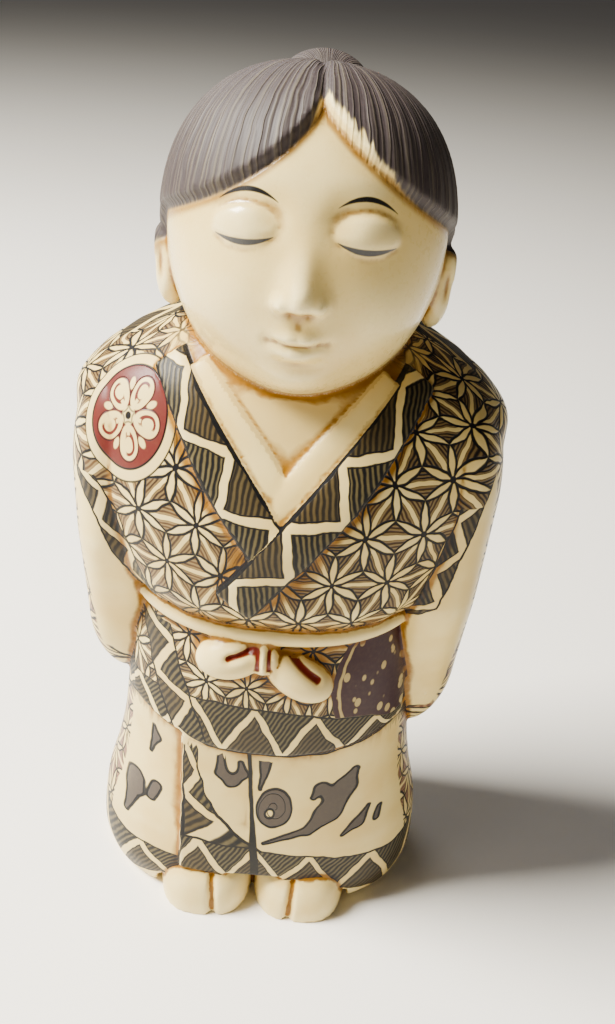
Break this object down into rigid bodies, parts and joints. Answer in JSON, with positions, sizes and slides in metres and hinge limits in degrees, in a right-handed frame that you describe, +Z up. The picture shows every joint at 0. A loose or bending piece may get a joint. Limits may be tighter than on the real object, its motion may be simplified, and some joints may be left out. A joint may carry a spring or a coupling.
{
  "type": "kimono lady figurine",
  "caption": "Small standing carved figurine of a lady in a kimono, hanging sleeves, waist cord with a bow, split-toed feet under the hem.",
  "frame": {"origin": "middle of the flat standing face", "axes": "+Z up the figure, the face looks along -Y, the wearer's left side is +X"},
  "size_m": [0.0241, 0.0172, 0.052],
  "materials": {
    "ivory_white": "polished warm ivory-white resin, amber stain in the grooves, engraved and inked cloth patterns, ink-dark hair"
  },
  "bodies": {
    "root": {"kimono_lady": "ivory_white"}
  },
  "joints": []
}
